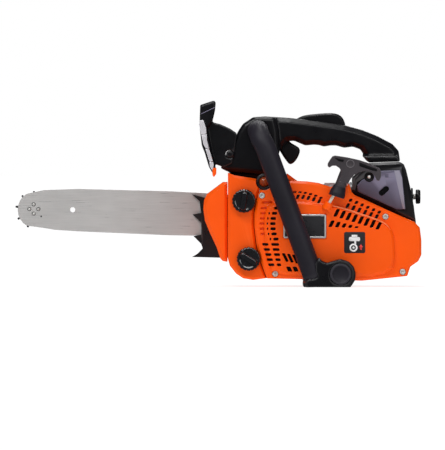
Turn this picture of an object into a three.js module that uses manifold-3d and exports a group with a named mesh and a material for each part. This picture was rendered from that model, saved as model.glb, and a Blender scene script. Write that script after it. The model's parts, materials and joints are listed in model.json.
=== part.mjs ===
// A top-handle petrol chainsaw, in millimetres. X runs from the bar's nose to the rear,
// Y from the starter side (left) to the clutch side (right), Z up from the foot it stands on.
import * as THREE from "three";
import { mergeVertices } from "three/addons/utils/BufferGeometryUtils.js";
import Module from "manifold-3d";

const wasm = await Module();
wasm.setup();

// Driving dimensions.
const GAP = 0.3; // left between pieces that touch
const WALL = 3; // moulded covers
const CRANK = { x: 113, z: 81, throw: 13 }; // crankshaft axis, along Y
const CYLINDER_TILT = Math.PI / 3; // from vertical, leaning forward
const BORE = 17; // cylinder bore radius
const ROD = 41; // connecting rod, between centres
const WEB_R = 19; // crank webs, round discs
const SHAFT_R = 6; // crankshaft ends
const BAR = { inner: 43, outer: 47.3, noseX: -237, noseZ: 98, tailX: 96 };
const TUBE_R = 11.2; // front handle, bare tube
const GRIP_R = 13.5; // front handle, grip sleeve
const HANDLE_Y = -101; // front handle's plane
const FACE_Y = -80; // starter housing's outer face
const STARTER_BACK = -24; // starter housing's open side
const TANK = { left: -74, right: -26 };
const COVER_Y = 84; // clutch cover's outer face
const FOOT = { x: 157.3, z: 16.9 }; // round end of the handle foot
const GUARD_PIVOT = { x: 16, z: 170 };
const GRIP_TOP = { x: 61.6, z: 178, lean: 0.373 }; // where the front handle's straight part ends
const CENTRE_Y = 15.5; // shift that puts the whole saw's middle on Y = 0

// ---- solids -------------------------------------------------------------------------------

function solid(geometry) {
  const bare = new THREE.BufferGeometry();
  const flat = geometry.index ? geometry.toNonIndexed() : geometry;
  bare.setAttribute("position", flat.getAttribute("position"));
  const merged = mergeVertices(bare, 1e-3);
  return new wasm.Manifold(
    new wasm.Mesh({
      numProp: 3,
      vertProperties: new Float32Array(merged.attributes.position.array),
      triVerts: new Uint32Array(merged.index.array),
    }),
  );
}

function geometryOf(manifold) {
  const mesh = manifold.getMesh();
  const geometry = new THREE.BufferGeometry();
  geometry.setAttribute("position", new THREE.BufferAttribute(mesh.vertProperties, 3));
  geometry.setIndex(new THREE.BufferAttribute(mesh.triVerts, 1));
  const flat = geometry.toNonIndexed();
  flat.computeVertexNormals();
  return flat;
}

const join = (...parts) => parts.reduce((a, b) => a.add(b));
const cut = (body, ...tools) => tools.reduce((a, b) => a.subtract(b), body);

// A closed outline in X and Z, given as corner points.
function outline(points) {
  return new THREE.Shape(points.map(([x, z]) => new THREE.Vector2(x, z)));
}

// A closed smooth outline through the points, with so many steps in all.
function smooth(points, steps) {
  const path = new THREE.CatmullRomCurve3(
    points.map(([x, z]) => new THREE.Vector3(x, z, 0)),
    true,
    "centripetal",
  );
  return path.getPoints(steps).slice(0, -1).map((p) => [p.x, p.y]);
}

// The outline moved inwards by d (outwards if d is negative), for either winding.
function inset(points, d) {
  const turn = THREE.ShapeUtils.area(points.map(([x, z]) => new THREE.Vector2(x, z))) > 0 ? 1 : -1;
  return points.map(([x, z], i) => {
    const [ax, az] = points[(i + points.length - 1) % points.length];
    const [bx, bz] = points[(i + 1) % points.length];
    const before = new THREE.Vector2(x - ax, z - az).normalize();
    const after = new THREE.Vector2(bx - x, bz - z).normalize();
    const mid = before.clone().add(after).normalize();
    const stretch = 1 / Math.max(0.6, mid.dot(after));
    return [x - mid.y * d * turn * stretch, z + mid.x * d * turn * stretch];
  });
}

// A plate with this outline, from y = low to y = high; round is the size of its edge rounding.
function plate(points, low, high, round = 0) {
  const geometry = new THREE.ExtrudeGeometry(outline(points), {
    depth: high - low - 2 * round,
    bevelEnabled: round > 0,
    bevelSize: round,
    bevelOffset: -round,
    bevelThickness: round,
    bevelSegments: 1,
    steps: 1,
  });
  return solid(geometry.rotateX(Math.PI / 2).translate(0, high - round, 0));
}

// A round bar along Y.
function rod(x, z, r, low, high, sides = 20) {
  const geometry = new THREE.CylinderGeometry(r, r, high - low, sides);
  return solid(geometry.translate(x, (low + high) / 2, z));
}

// A round bar between two points.
function pin(from, to, r, sides = 16, r2 = r) {
  const a = new THREE.Vector3(...from);
  const b = new THREE.Vector3(...to);
  const way = b.clone().sub(a);
  const geometry = new THREE.CylinderGeometry(r2, r, way.length(), sides);
  const turn = new THREE.Quaternion().setFromUnitVectors(
    new THREE.Vector3(0, 1, 0),
    way.clone().normalize(),
  );
  geometry.applyQuaternion(turn);
  const middle = a.add(b).multiplyScalar(0.5);
  return solid(geometry.translate(middle.x, middle.y, middle.z));
}

// A box from its lowest to its highest corner.
function block(x0, x1, y0, y1, z0, z1) {
  const geometry = new THREE.BoxGeometry(x1 - x0, y1 - y0, z1 - z0);
  return solid(geometry.translate((x0 + x1) / 2, (y0 + y1) / 2, (z0 + z1) / 2));
}

// A turned piece on an axis along Y through (x, z): the profile lists [radius, y].
function turned(x, z, profile, sides = 32) {
  const points = profile.map(([r, y]) => new THREE.Vector2(r, y));
  let body = solid(new THREE.LatheGeometry(points, sides));
  if (body.volume() < 0) body = solid(new THREE.LatheGeometry(points.reverse(), sides));
  return body.translate([x, 0, z]);
}

// A round section swept along a path; inner is the radius of its bore, if it has one.
function swept(points, r, sides, steps, inner = 0) {
  const path = new THREE.CatmullRomCurve3(points.map((p) => new THREE.Vector3(...p)), false, "centripetal");
  const ring = new THREE.Shape();
  ring.absarc(0, 0, r, 0, 2 * Math.PI);
  if (inner) ring.holes.push(new THREE.Path().absarc(0, 0, inner, 0, 2 * Math.PI));
  const geometry = new THREE.ExtrudeGeometry(ring, { extrudePath: path, steps, curveSegments: sides });
  return solid(geometry);
}

// A ring of n tools turned about an axis along Y through (x, z).
function around(x, z, n, make) {
  const made = [];
  for (let i = 0; i < n; i++) {
    const angle = (360 * i) / n;
    made.push(make(i).translate([-x, 0, -z]).rotate([0, angle, 0]).translate([x, 0, z]));
  }
  return join(...made);
}

// ---- the scene ----------------------------------------------------------------------------

const saw = new THREE.Group();
saw.position.y = CENTRE_Y;

const FINISH = {
  orange: [0xff6914, 0.28, 0],
  black: [0x17161a, 0.5, 0],
  grip: [0x2b2a2f, 0.75, 0],
  grey: [0x5f5a68, 0.5, 0],
  brown: [0x3c3737, 0.55, 0],
  steel: [0xc8c8c8, 0.35, 0.9],
  dark: [0x55555a, 0.5, 0.8],
  alloy: [0xb4b4b8, 0.45, 0.7],
  red: [0xd8421c, 0.3, 0],
  white: [0xe8e2d6, 0.8, 0],
};

function add(name, body, finish) {
  const [color, roughness, metalness] = FINISH[finish];
  const material = new THREE.MeshStandardMaterial({ color, roughness, metalness });
  const mesh = new THREE.Mesh(geometryOf(body), material);
  mesh.name = name;
  saw.add(mesh);
}

// ---- engine -------------------------------------------------------------------------------

// A point on the cylinder's axis, so far from the crankshaft, in the plane y.
const LEAN = { x: -Math.sin(CYLINDER_TILT), z: Math.cos(CYLINDER_TILT) };
const along = (d, y = 0) => [CRANK.x + LEAN.x * d, y, CRANK.z + LEAN.z * d];
const barrel = (from, to, r, sides = 32) => pin(along(from), along(to), r, sides);

// The intake runs from the cylinder to the air filter.
const INTAKE = [[104, 2, 121], [184, 2, 127]];

function crankcase() {
  const wall = smooth(
    [
      [66, 30], [62, 70], [68, 106], [96, 117], [126, 114], [150, 98], [180, 70], [182, 44], [174, 22],
      [120, 14],
    ],
    26,
  );
  const port = pin(...INTAKE, 8.5, 20);
  const room = rod(CRANK.x, CRANK.z, 31, -16, 16, 28);
  const left = cut(
    plate(wall, STARTER_BACK + GAP, -GAP / 2),
    room,
    rod(CRANK.x, CRANK.z, 42, STARTER_BACK - 2, -20, 28),
    rod(CRANK.x, CRANK.z, 13, -30, 5),
    barrel(18, 90, 20.3),
    barrel(36, 110, 25.5),
    port,
  );
  const pad = smooth([[18, 70], [18, 112], [40, 120], [84, 118], [96, 94], [80, 60], [40, 58]], 18);
  const feet = join(block(66, 114, 0.15, 36, 13, 30), block(110, 176, 0.15, 36, 7, 30));
  const right = cut(
    join(plate(wall, GAP / 2, 36), plate(pad, 26, 38), feet),
    room,
    rod(CRANK.x, CRANK.z, 13, -5, 60),
    barrel(18, 90, 20.3),
    barrel(36, 110, 25.5),
    port,
    block(76, 108, 6, 31, 0, 42),
    block(118, 168, 6, 31, 0, 42),
    block(144, 170, 8, 31, 50, 120),
    rod(40, 94, 4 + GAP, 25.6, 60),
    rod(66, 94, 4 + GAP, 25.6, 60),
    rod(52, 74, 3 + GAP, 26, 60),
  );
  add("crankcase_left", left, "alloy");
  add("crankcase_right", right, "alloy");
  for (const [name, low, high] of [["bearing_left", -15.5, -6.5 - 2], ["bearing_right", 8.5, 15.5]])
    add(
      name,
      cut(rod(CRANK.x, CRANK.z, 12.7, low, high, 32), rod(CRANK.x, CRANK.z, SHAFT_R + GAP, -40, 40)),
      "steel",
    );
}

function cylinder() {
  const profile = [[BORE, 32], [20, 32]];
  for (let d = 38; d < 72; d += 7) profile.push([20, d], [23.5, d], [23.5, d + 2], [20, d + 2]);
  profile.push([20, 76], [5.3, 76], [5.3, 65], [BORE, 65], [BORE, 32]);
  const points = profile.map(([r, d]) => new THREE.Vector2(r, d));
  const turn = new THREE.Quaternion().setFromUnitVectors(
    new THREE.Vector3(0, 1, 0),
    new THREE.Vector3(LEAN.x, 0, LEAN.z),
  );
  const lathe = new THREE.LatheGeometry(points, 20).applyQuaternion(turn);
  const body = solid(lathe.translate(CRANK.x, 0, CRANK.z));
  add("cylinder", body, "alloy");
  add("spark_plug", join(barrel(65.3, 84, 5, 16), barrel(76.3, 80, 8, 6), barrel(84, 92, 3, 12)), "steel");
  const boot = join(pin(along(80.3), along(98), 7, 20), pin(along(93), along(93, -17), 5, 16));
  add("plug_boot", cut(boot, barrel(60, 93, 5.4, 16), barrel(75, 80.2, 12, 16)), "black");
}

function crankshaft() {
  const top = along(CRANK.throw);
  const halves = [
    ["crankshaft_left", -4.5, -8.2, -70],
    ["crankshaft_right", 4.5, 8.2, 74],
  ];
  for (const [name, inner, outer, end] of halves) {
    const web = cut(
      rod(CRANK.x, CRANK.z, WEB_R, Math.min(inner, outer), Math.max(inner, outer), 36),
      pin([top[0], -12, top[2]], [top[0], 12, top[2]], 4.9, 20),
    );
    const shaft = rod(CRANK.x, CRANK.z, SHAFT_R, Math.min(inner, end), Math.max(inner, end));
    add(name, join(web, shaft), "steel");
  }
  const small = along(CRANK.throw + ROD);
  const eyes = join(
    rod(top[0], top[2], 8, -3.6, 3.6, 28),
    rod(small[0], small[2], 6.5, -3.6, 3.6, 24),
    pin([top[0], 0, top[2]], [small[0], 0, small[2]], 3.3, 12),
  );
  const rodBody = cut(eyes, rod(small[0], small[2], 4.1, -10, 10, 20));
  add("connecting_rod", rodBody.add(rod(top[0], top[2], 4.6, -4.2, 4.2)), "steel");
  const crown = CRANK.throw + ROD + 10.5;
  let piston = barrel(crown - 19, crown, BORE - 0.6, 24);
  piston = piston.subtract(barrel(crown - 40, crown - 3, BORE - 4, 24));
  const boss = pin([small[0], -14, small[2]], [small[0], 14, small[2]], 6, 20);
  const wrist = pin([small[0], -15, small[2]], [small[0], 15, small[2]], 4, 20);
  const clear = pin([small[0], -4.6, small[2]], [small[0], 4.6, small[2]], 7.4, 24);
  piston = join(piston, boss.subtract(clear), wrist);
  add("piston", piston, "alloy");
}

function flywheel() {
  const disc = turned(
    CRANK.x,
    CRANK.z,
    [[0, -38], [40, -38], [40, -24], [34, -24], [32, -32], [14, -32], [14, -22], [0, -22]],
    30,
  );
  const fin = () => block(CRANK.x + 16, CRANK.x + 38, -42, -37.5, CRANK.z - 1.2, CRANK.z + 1.2);
  const claw = () => block(CRANK.x + 14, CRANK.x + 18, -48, -37.5, CRANK.z - 4, CRANK.z + 4);
  const body = join(disc, around(CRANK.x, CRANK.z, 14, fin), around(CRANK.x, CRANK.z, 2, claw));
  add("flywheel", cut(body, rod(CRANK.x, CRANK.z, SHAFT_R + GAP, -60, 0)), "alloy");
  const core = join(
    block(146, 151, -36, -26, 104, 122),
    block(146, 167, -36, -26, 117, 122),
    block(152.5, 166, -38, -25, 106, 122),
  );
  add("ignition_coil", core, "black");
}

function muffler() {
  const box = [[-10, 88], [0, 62], [26, 58], [29, 70], [29, 84], [24, 112], [-6, 112]];
  const can = cut(plate(box, -22, 25, 3), block(-5, 22, -17, 20, 68, 106));
  add("muffler", cut(can, block(10, 16, -40, -10, 78, 84)), "dark");
}

function carburettor() {
  const body = join(
    block(138, 160, -13, 17, 110, 133),
    pin(...INTAKE, 8, 20),
    pin([149, -13, 122], [149, -16, 122], 7, 16),
  );
  add("carburettor", cut(body, pin([90, 2, 119.9], [190, 2, 127.5], 5.5, 20)), "alloy");
  const pleat = [];
  for (let i = 0; i <= 6; i++) pleat.push([187 + (i % 2) * 3, 126 + i * 2.6]);
  const filter = plate([...pleat, [216, 146], [226, 110], [196, 120]], -22, 22);
  add("air_filter", cut(filter, pin([170, 2, 131], [198, 2, 131], 6, 20)), "white");
}

// ---- clutch and bar -----------------------------------------------------------------------

function clutch() {
  const drum = turned(
    CRANK.x,
    CRANK.z,
    [[0, 42], [7, 42], [7, 51], [30, 51], [30, 68], [28, 68], [28, 53], [0, 53]],
    30,
  );
  const tooth = () => block(CRANK.x + 6, CRANK.x + 11.5, 42.5, 47.5, CRANK.z - 2.2, CRANK.z + 2.2);
  const body = drum.add(around(CRANK.x, CRANK.z, 6, tooth));
  add("clutch_drum", cut(body, rod(CRANK.x, CRANK.z, SHAFT_R + GAP, 0, 90, 40)), "steel");
  const hub = join(
    rod(CRANK.x, CRANK.z, 9, 56, 72, 6),
    block(CRANK.x - 12, CRANK.x + 12, 56, 66, CRANK.z - 4, CRANK.z + 4),
  );
  add("clutch_hub", cut(hub, rod(CRANK.x, CRANK.z, SHAFT_R + 0.05, 0, 90)), "dark");
  const ring = cut(rod(CRANK.x, CRANK.z, 26.8, 56, 66, 40), rod(CRANK.x, CRANK.z, 15, 50, 70, 32));
  const half = block(CRANK.x - 40, CRANK.x + 40, 50, 70, CRANK.z + 4, CRANK.z + 40);
  const shoe = ring.intersect(half);
  add("clutch_shoe_1", shoe, "dark");
  add(
    "clutch_shoe_2",
    shoe.translate([-CRANK.x, 0, -CRANK.z]).rotate([0, 180, 0]).translate([CRANK.x, 0, CRANK.z]),
    "dark",
  );
  const band = cut(
    rod(CRANK.x, CRANK.z, 33, 54, 66, 40),
    rod(CRANK.x, CRANK.z, 31.6, 50, 70, 40),
    block(CRANK.x - 40, CRANK.x, 50, 70, CRANK.z + 10, CRANK.z + 40),
  );
  add("brake_band", band, "dark");
}

const barEdge = () => [
  [-246, 113.5], [-238, 120.5], [-224, 123.5], [-179, 125], [-62, 122], [10, 118], [70, 112],
  [BAR.tailX, 103], [BAR.tailX, 84], [70, 76], [10, 68], [-32, 64.5], [-62, 65], [-179, 70], [-210, 72],
  [-228, 75],
];

function bar() {
  const nose = [];
  for (let i = 1; i < 10; i++) {
    const angle = THREE.MathUtils.degToRad(256 - i * 15.2);
    nose.push([BAR.noseX + 22 * Math.cos(angle) + 1, BAR.noseZ + 23.5 * Math.sin(angle)]);
  }
  const blade = plate([...barEdge().slice(1), ...nose], BAR.inner, BAR.outer);
  const slot = join(block(34, 76, 30, 60, 90, 98), rod(34, 94, 4, 30, 60, 16), rod(76, 94, 4, 30, 60, 16));
  const pocket = rod(BAR.noseX, BAR.noseZ, 26.5, BAR.inner + 1.2, BAR.outer - 1.2, 36);
  const rivet = rod(BAR.noseX, BAR.noseZ, 5, BAR.inner, BAR.outer, 16);
  const body = cut(
    blade,
    slot,
    rod(-187, 98, 3.3, 30, 60, 16),
    rod(66, 84, 3, 30, 60, 16),
    cut(pocket, rivet),
  );
  add("guide_bar", body, "steel");
  const near = BAR.inner + 1.5;
  const far = BAR.outer - 1.5;
  const tooth = () => plate(
    [
      [BAR.noseX - 2, BAR.noseZ + 19], [BAR.noseX + 2, BAR.noseZ + 19],
      [BAR.noseX + 1.1, BAR.noseZ + 24.2], [BAR.noseX - 1.1, BAR.noseZ + 24.2],
    ],
    near,
    far,
  );
  const disc = rod(BAR.noseX, BAR.noseZ, 20.6, near, far, 40);
  const wheel = join(disc, around(BAR.noseX, BAR.noseZ, 9, tooth));
  add("nose_sprocket", cut(wheel, rod(BAR.noseX, BAR.noseZ, 5.1, 30, 60, 16)), "dark");
  for (const [i, x] of [40, 66].entries()) {
    const place = i === 0 ? "front" : "rear";
    add("bar_stud_" + place, rod(x, 94, 3.8, 26, 74, 16), "steel");
    const nut = join(rod(x, 94, 7, 66.3, 73, 6), rod(x, 94, 9, 66.3, 68, 24));
    add("bar_nut_" + place, cut(nut, rod(x, 94, 4, 60, 80, 16)), "dark");
  }
  add("tension_screw", join(rod(52, 74, 3, 28, 41, 12), rod(52, 74, 5, 38.3, 42.6, 12)), "steel");
}

// ---- housings -----------------------------------------------------------------------------

const STARTER_EDGE = [
  [56.4, 128], [70, 130], [78, 132], [93, 136], [115, 135], [130, 133], [145, 128], [160, 131.5],
  [169, 132], [171.5, 122],
  [175, 118], [212, 101], [234, 91], [252, 83.5], [259, 76], [261, 60], [261, 41], [257, 33], [247, 26],
  [243, 14], [185, 8], [107, 10], [63.3, 11], [56.2, 30], [50.3, 52], [47.3, 77], [47.3, 94], [49.9, 110.3],
];

// The rope's straight run, measured from where it leaves the housing.
const PULL = { x: 0.48, z: 0.877, y: -91 };
const rope = (d) => [146 + PULL.x * d, PULL.y, 113 + PULL.z * d];

const PRIMER = { x: 60, z: 134.6, seat: -57.7 };
const CAPS = { fuel: { x: 34, z: 110 }, oil: { x: 40, z: 36 } };

// An oval outline: its middle, length, width and lean.
function oval(x, z, length, width, lean) {
  const points = [];
  const straight = (length - width) / 2;
  for (let i = 0; i < 24; i++) {
    const angle = ((i + 0.5) / 24) * 2 * Math.PI;
    const along = (Math.cos(angle) * width) / 2 + Math.sign(Math.cos(angle)) * straight;
    const across = (Math.sin(angle) * width) / 2;
    points.push([
      x + along * Math.cos(lean) - across * Math.sin(lean),
      z + along * Math.sin(lean) + across * Math.cos(lean),
    ]);
  }
  return points;
}

// Depth of the starter housing's shallow grooves.
const SLAT_DEPTH = 1.3;

// One slot through the starter housing's face: its middle, width, height and lean.
function slot(x, z, width, height, lean = 0) {
  const half = width / 2;
  const shear = (Math.tan(lean) * height) / 2;
  const corners = [
    [x - half - shear, z - height / 2],
    [x + half - shear, z - height / 2],
    [x + half + shear, z + height / 2],
    [x - half + shear, z + height / 2],
  ];
  return plate(corners, FACE_Y - 12, FACE_Y + 8);
}

function starterVents() {
  const vents = [];
  // The front vents run in rows that start on an arc about the crankshaft.
  for (let row = 0; row < 7; row++) {
    const z = 101 - row * 6.6;
    const start = CRANK.x - Math.sqrt(46 ** 2 - (z - 80) ** 2);
    vents.push(slot(start + 4, z, 6.6, 3.6));
    if (row > 0) vents.push(slot(start - 3, z, 1.8, 3.6));
  }
  for (let row = 0; row < 5; row++) {
    vents.push(slot(61.5 + row * 1.9, 54.6 - row * 6.5, 7.6, 3.4, -0.3));
    vents.push(slot(74 + row * 1.2, 54.6 - row * 6.5, 9.6 - row * 1.1, 3.4, -0.3));
  }
  for (let i = 0; i < 3; i++) vents.push(slot(87 + i * 6.5, 38 - i, 4, 11, -0.45));
  for (let i = 0; i < 2; i++) vents.push(slot(92 + i * 8, 23, 5.4, 6.4, -0.45));
  // Two rows of large slots lean under the ridge.
  for (let i = 0; i < 8; i++) vents.push(slot(152.5 + i * 7.7, 95 - i * 2.35, 4.6, 9.6, 0.45));
  for (let i = 0; i < 5; i++) vents.push(slot(146 + i * 8, 81 - i * 1.1, 4.6, 8.4 - i * 1.5, 0.45));
  // Small rows follow the top edge, left and right of the starter rope.
  for (let i = 0; i < 6; i++) vents.push(slot(99 + i * 6.7, 121.5 - 0.3 * i * i, 4.4, 2.4, 0.4));
  for (let i = 0; i < 5; i++) vents.push(slot(102.7 + i * 6.9, 115.4 - 0.35 * i * i, 3.8, 5.4, 0.45));
  for (let i = 0; i < 6; i++) vents.push(slot(170.5 + i * 7.3, 111.2 - i * 3.1, 4, 3.8, 0.45));
  for (let i = 0; i < 6; i++) vents.push(slot(166.7 + i * 7.4, 104.2 - i * 2.85, 4, 6, 0.45));
  return vents;
}

// Shallow grooves in the face, in front of the front vents.
function starterSlats() {
  const slats = [block(56.7, 71, FACE_Y - 1, FACE_Y + SLAT_DEPTH, 106.6, 110)];
  for (let row = 0; row < 6; row++) {
    const z = 101 - row * 6.6;
    const start = CRANK.x - Math.sqrt(46 ** 2 - (z - 80) ** 2);
    const right = row === 0 ? start : start - 5;
    slats.push(block(Math.min(start - 13.5, 55), right, FACE_Y - 1, FACE_Y + SLAT_DEPTH, z - 1.7, z + 1.7));
  }
  return slats;
}

const DOME = [
  [103, 109.5], [135, 106.5], [159, 101.5], [182, 94], [208, 85], [218, 79], [224, 70], [226, 50],
  [224, 24],
  [203, 15], [150, 14], [100, 16], [70, 20], [62, 50], [60, 84], [66, 106],
];

const SCREWS = [[57, 117], [74, 17], [215, 90], [237, 19.5]];

function starterHousing() {
  const shell = cut(
    plate(STARTER_EDGE, FACE_Y, STARTER_BACK, 3),
    plate(inset(STARTER_EDGE, WALL), FACE_Y + WALL, STARTER_BACK + 5),
  );
  const crest = smooth(DOME, 28);
  const raised = plate(crest, FACE_Y - 6, FACE_Y + 2, 3);
  const hollow = plate(inset(crest, WALL + 1), FACE_Y - 3, FACE_Y + 6);
  const hub = rod(CRANK.x, CRANK.z, 5.5, FACE_Y - 4, -72);
  const bosses = SCREWS.map(([x, z]) => rod(x, z, 5.5, FACE_Y + 1, STARTER_BACK - 1, 16));
  const eyelet = join(pin(rope(-16), rope(-6), 5.5, 20), block(134.5, 145, -92, FACE_Y + 1, 98, 106));
  const walls = join(cut(join(shell, raised), hollow), eyelet);
  const body = cut(
    join(walls, ...bosses, hub),
    ...starterVents(),
    ...starterSlats(),
    ...SCREWS.map(([x, z]) => rod(x, z, 4.2, FACE_Y - 10, FACE_Y + 3, 16)),
    ...SCREWS.map(([x, z]) => rod(x, z, 2.2, FACE_Y - 10, FACE_Y + 24, 12)),
    pin(rope(-20), rope(10), 2.6, 16),
    rod(CAPS.oil.x, CAPS.oil.z, 16, FACE_Y - 10, -60, 36),
    rod(PRIMER.x, PRIMER.z, 10.8, FACE_Y - 10, PRIMER.seat, 32),
    block(84, 139.5, -95, FACE_Y - 4.6, 62, 93.5),
  );
  add("starter_housing", body, "orange");
  for (const [i, [x, z]] of SCREWS.entries()) {
    const head = cut(
      rod(x, z, 3.7, FACE_Y - 0.4, FACE_Y + 2.7, 20),
      rod(x, z, 1.8, FACE_Y - 1, FACE_Y + 1, 6),
    );
    add("starter_screw_" + (i + 1), head.add(rod(x, z, 1.9, FACE_Y + 2, FACE_Y + 22, 12)), "steel");
  }
  add(
    "name_plate",
    plate([[84.5, 62.5], [139, 62.5], [139, 93], [84.5, 93]], -87, FACE_Y - 4.9, 0.6),
    "dark",
  );
}

function tank() {
  const edge = [
    [13.5, 146.2], [22, 142.8], [50, 138.4], [58, 136.5], [55.4, 128.4], [49, 110.5], [46.5, 94],
    [46.5, 77], [49.5, 52],
    [55.2, 30], [62.4, 11.2], [46, 9], [33, 11], [24, 17], [16, 27], [13.5, 36],
  ];
  const upper = [[17, 62], [43, 62], [43, 94], [46, 111], [50, 130], [18, 136]];
  const lower = [[17, 36], [26, 20], [35, 14], [50, 13], [45, 52], [43, 58], [17, 58]];
  const body = cut(
    plate(edge, TANK.left, TANK.right, 3),
    plate(upper, TANK.left + WALL, TANK.right - WALL),
    plate(lower, TANK.left + WALL, TANK.right - WALL),
    rod(CAPS.fuel.x, CAPS.fuel.z, 11, -90, -60, 28),
    rod(CAPS.oil.x, CAPS.oil.z, 10, -90, -60, 28),
    rod(PRIMER.x, PRIMER.z, 10.8, -90, PRIMER.seat, 32),
    rod(SCREWS[0][0], SCREWS[0][1], 6, -90, -20, 16),
  );
  add("tank_housing", body, "orange");
  for (const [name, at, r, tilt] of [["fuel_cap", CAPS.fuel, 10.6, 8], ["oil_cap", CAPS.oil, 9.6, -35]]) {
    const cap = turned(
      at.x,
      at.z,
      [[0, -84], [13, -84], [15.3, -82], [15.3, TANK.left - GAP], [r, TANK.left - GAP], [r, -64], [0, -64]],
      36,
    );
    const grip = block(-3, 3, -88.5, -83.5, -11.5, 11.5).rotate([0, tilt, 0]).translate([at.x, 0, at.z]);
    const groove = () => rod(at.x + 15.9, at.z, 1.3, -90, -78, 6);
    add(name, cut(cap.add(grip), around(at.x, at.z, 12, groove)), "black");
  }
  const at = (profile, sides) => turned(PRIMER.x, PRIMER.z, profile, sides);
  add("primer_base", at([[0, -58], [10.4, -58], [10.4, -66], [7, -66], [7, -60], [0, -60]], 32), "black");
  const bulb = at([[0, -71], [3, -70.4], [5.2, -69], [6.4, -66.6], [6.6, -64.3], [0, -64.3]], 28);
  add("primer_bulb", bulb, "red");
}

function coversAtTheFront() {
  const edge = [
    [13, 134], [7, 134], [-13, 119], [-17, 111], [-18, 100], [-16, 85], [-9, 68], [-1, 51], [4, 36],
    [7, 33], [13, 32],
  ];
  const inner = [
    [22, 128], [8, 129], [-8, 116], [-12, 110], [-13, 100], [-11, 87], [-5, 70], [3, 53], [8, 39],
    [22, 39],
  ];
  const shell = cut(plate(edge, -66, 35, 4), plate(inner, -61, 30));
  const louvres = [];
  for (let i = 0; i < 5; i++) louvres.push(block(-40, -5, -44 + i * 15, -37 + i * 15, 66, 74));
  for (let i = 0; i < 5; i++) louvres.push(block(-40, -5, -44 + i * 15, -37 + i * 15, 92, 100));
  add("muffler_cover", cut(shell, ...louvres), "orange");
  const spikes = [
    [-33, 118], [-17, 114], [30, 114], [30, 62], [16, 60], [14, 36], [4, 36], [-33, 37], [-26, 41],
    [-19, 48],
    [-21, 54], [-31, 64], [-21, 66], [-21, 81], [-32, 92], [-21, 94], [-23, 109],
  ];
  add("bumper_spikes", plate(spikes, 38.4, 41.6), "black");
  const shroud = [
    [84, 136], [90, 145], [105, 134], [124, 133], [124, 130], [104, 131], [90, 138], [86, 134],
  ];
  const flank = [[84, 136], [90, 145], [105, 134], [124, 133], [130, 120], [100, 119], [96, 128]];
  const cover = join(plate(shroud, STARTER_BACK + 1, 34), plate(flank, 31, 34));
  add("cylinder_cover", cut(cover, pin(...INTAKE, 8.4, 20)), "orange");
}

function clutchCover() {
  const edge = smooth(
    [
      [20, 74], [22, 112], [46, 124], [90, 126], [140, 122], [176, 100], [186, 66], [172, 26], [132, 10],
      [92, 12], [60, 40],
    ],
    30,
  );
  const drumSide = smooth(
    [[74, 60], [80, 104], [104, 122], [140, 118], [172, 94], [180, 64], [166, 28], [130, 14], [94, 18]],
    26,
  );
  const outer = join(plate(edge, 42, 66, 3), plate(drumSide, 50, COVER_Y, 5));
  const body = cut(
    outer,
    plate(inset(edge, WALL), 30, 63 - GAP),
    plate(inset(drumSide, WALL + 1), 40, COVER_Y - WALL),
    block(-30, 60, 30, 54, 58, 130),
    block(90, 176, 30, 60, 0, 30),
    rod(40, 94, 4.2, 50, 90, 16),
    rod(66, 94, 4.2, 50, 90, 16),
  );
  const slots = [];
  for (let i = 0; i < 5; i++) slots.push(block(104 + i * 12, 110 + i * 12, 70, 95, 40, 56));
  add("clutch_cover", cut(body, ...slots), "orange");
  add("chain_catcher", join(block(15, 36, 42.2, 56, 40, 46), block(26, 36, 38.4, 44, 40, 58)), "alloy");
}

function rearHousing() {
  const edge = [
    [172, 123.4], [175.6, 119.4], [212.6, 102.4], [234.4, 92.4], [254, 84.6], [252, 103], [247, 129],
    [242, 150],
    [239, 157], [234, 160], [195.5, 158.4], [184, 150], [174, 140],
  ];
  const lower = [[188, 112], [188, 24], [240, 18], [250, 30], [256, 44], [255, 84], [253, 98]];
  const inner = [
    [181, 124], [214, 107], [247, 92], [245, 110], [240, 134], [235, 148], [228, 152], [198, 152],
    [184, 142],
  ];
  const body = cut(
    join(plate(edge, -50, 42, 3), plate(lower, STARTER_BACK + GAP, 42, 3)),
    plate(inner, -45, 37),
    plate(inset(lower, WALL), -19, 38),
    block(150, 186, -16, 20, 100, 147),
    block(186, 192, -12, 32, 30, 96),
    pin([230, -6, 116], [270, -6, 114.8], 3.3, 20),
    plate(
      [[176, 121], [179, 134], [184.5, 137.5], [209, 149.5], [236, 150.6], [242, 98], [230, 98]],
      -53,
      -49,
    ),
  );
  add("filter_housing", body, "black");
  const panel = [
    [180, 122], [179, 130], [185, 136.6], [209, 148.6], [234, 149.6], [237, 140], [241, 99.4], [230, 99],
  ];
  const face = cut(
    plate(panel, -54, -49.3, 1),
    rod(194, 141, 3.6, -56, -52, 20),
    plate(oval(213.4, 122.8, 15, 7.4, 0.72), -60, -45),
    block(215, 219.4, -60, -53.2, 140, 144.4),
  );
  add("filter_panel", face, "grey");
  const knob = join(
    pin([254.5, -6, 115.2], [261.4, -6, 115], 9.2, 28, 8.6),
    pin([238, -6, 115.7], [255, -6, 115.2], 2.5, 16),
  );
  add("choke_knob", knob, "black");
}

// ---- handles and controls -----------------------------------------------------------------

const HANDLE_EDGE = [
  [4, 152], [27, 200], [33, 209], [46, 217.5], [62, 218.5], [94, 216.5], [130, 212], [164, 207], [186, 201],
  [205, 193.5], [225, 183], [233, 174], [235, 160.5], [195, 159], [190, 163], [189, 168], [184, 176],
  [174, 179.5],
  [163, 178], [153, 181], [145, 181], [137, 179.5], [131, 181.5], [124, 182], [113, 181], [106, 184],
  [99, 187],
  [90, 186.5], [80, 174], [76, 158], [58, 144.5], [12, 148],
];
const GRIP_SIDE = { left: -26, right: 14 };
const BLOCK_SIDE = { left: -44, right: 32 };

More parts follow.
